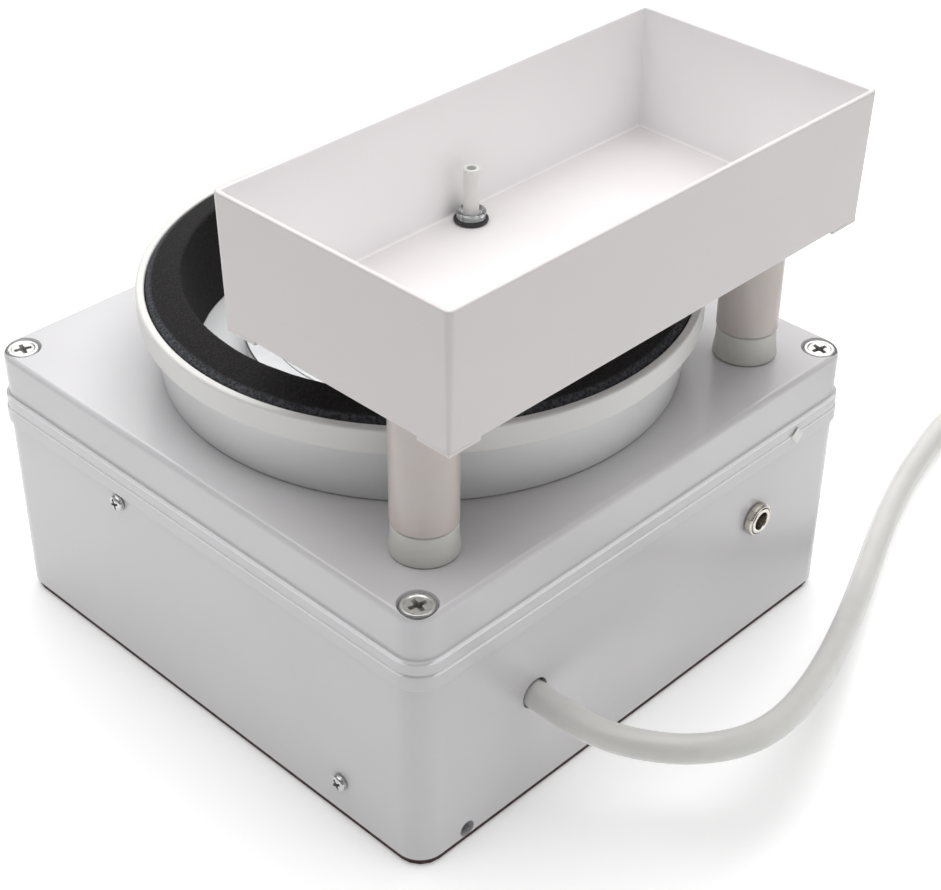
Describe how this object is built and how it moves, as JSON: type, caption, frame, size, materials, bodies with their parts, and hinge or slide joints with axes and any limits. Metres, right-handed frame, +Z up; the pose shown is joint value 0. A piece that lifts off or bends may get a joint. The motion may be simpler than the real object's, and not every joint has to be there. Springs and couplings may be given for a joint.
{
  "type": "pottery wheel",
  "caption": "Small tabletop motor wheel: square sealed housing, round splash basin with foam ring, drip tray on legs, drain hose and power jack.",
  "frame": {"origin": "middle of the housing's footprint, on the table", "axes": "+Z up along the wheel's axis, +X out of the wall with the power jack and the drain hose, -Y towards the front wall"},
  "size_m": [0.302, 0.4137, 0.1908],
  "materials": {
    "housing_plastic": "fine matt",
    "basin_plastic": "satin",
    "socket_plastic": "satin",
    "tray_plastic": "satin",
    "lid_screw_zinc": "satin",
    "foam": "matt foam",
    "pad_rubber": "matt",
    "black_rubber": "matt",
    "steel": "satin",
    "nickel": "polished",
    "aluminium": "turned",
    "brass": "satin",
    "hose_pvc": "milky, satin",
    "clear_plastic": "clear",
    "white_plastic": "satin",
    "board": "lacquered",
    "black_plastic": "matt",
    "paper": "paper"
  },
  "bodies": {
    "base": {"housing_box": "housing_plastic", "housing_lid": "housing_plastic", "splash_basin": "basin_plastic", "post_socket_front": "socket_plastic", "post_socket_back": "socket_plastic", "lid_screw_1": "lid_screw_zinc", "lid_screw_2": "lid_screw_zinc", "lid_screw_3": "lid_screw_zinc", "lid_screw_4": "lid_screw_zinc", "foam_ring": "foam", "base_pad": "pad_rubber", "lid_gasket": "black_rubber", "shaft_seal": "black_rubber", "basin_screw_1": "steel", "basin_screw_2": "steel", "basin_screw_3": "steel", "basin_screw_4": "steel", "motor_plate": "steel", "shaft_bearing": "steel", "motor_end_cap": "steel", "socket_screw_front": "steel", "socket_screw_back": "steel", "driver_screw_1": "steel", "driver_screw_2": "steel", "driver_nut_1": "steel", "driver_nut_2": "steel", "jack_body": "nickel", "jack_nut": "nickel", "gearbox": "aluminium", "driver_plate": "aluminium", "driver_heat_sink": "aluminium", "jack_pin": "brass", "driver_spacer_left": "brass", "driver_spacer_right": "brass", "drain_hose": "hose_pvc", "inner_hose": "hose_pvc", "hose_coil": "hose_pvc", "drain_fitting": "white_plastic", "drain_nut": "white_plastic", "driver_board": "board", "motor_can": "black_plastic", "driver_capacitor": "black_plastic", "power_lead": "black_plastic", "motor_lead": "black_plastic", "hose_tie": "black_plastic", "seam_label": "paper"},
    "wheel": {"wheel_disc": "aluminium", "wheel_hub": "aluminium", "wheel_shaft": "steel", "wheel_screw": "steel"},
    "tray": {"water_tray": "tray_plastic", "tray_leg_front": "tray_plastic", "tray_leg_back": "tray_plastic", "valve_body": "clear_plastic", "valve_seal": "black_rubber", "valve_nut": "white_plastic"},
    "drip_plug": {"valve_stem": "white_plastic"}
  },
  "joints": [
    {"name": "wheel_spin", "type": "hinge", "parent": "base", "child": "wheel", "pos_m": [0, 0, 0.1035], "axis": [0, 0, 1], "continuous": true},
    {"name": "tray_lift", "type": "slide", "parent": "base", "child": "tray", "axis": [0, 0, 1], "range_m": [0, 0.05]},
    {"name": "plug_lift", "type": "slide", "parent": "tray", "child": "drip_plug", "axis": [0, 0, 1], "range_m": [0, 0.02]}
  ]
}
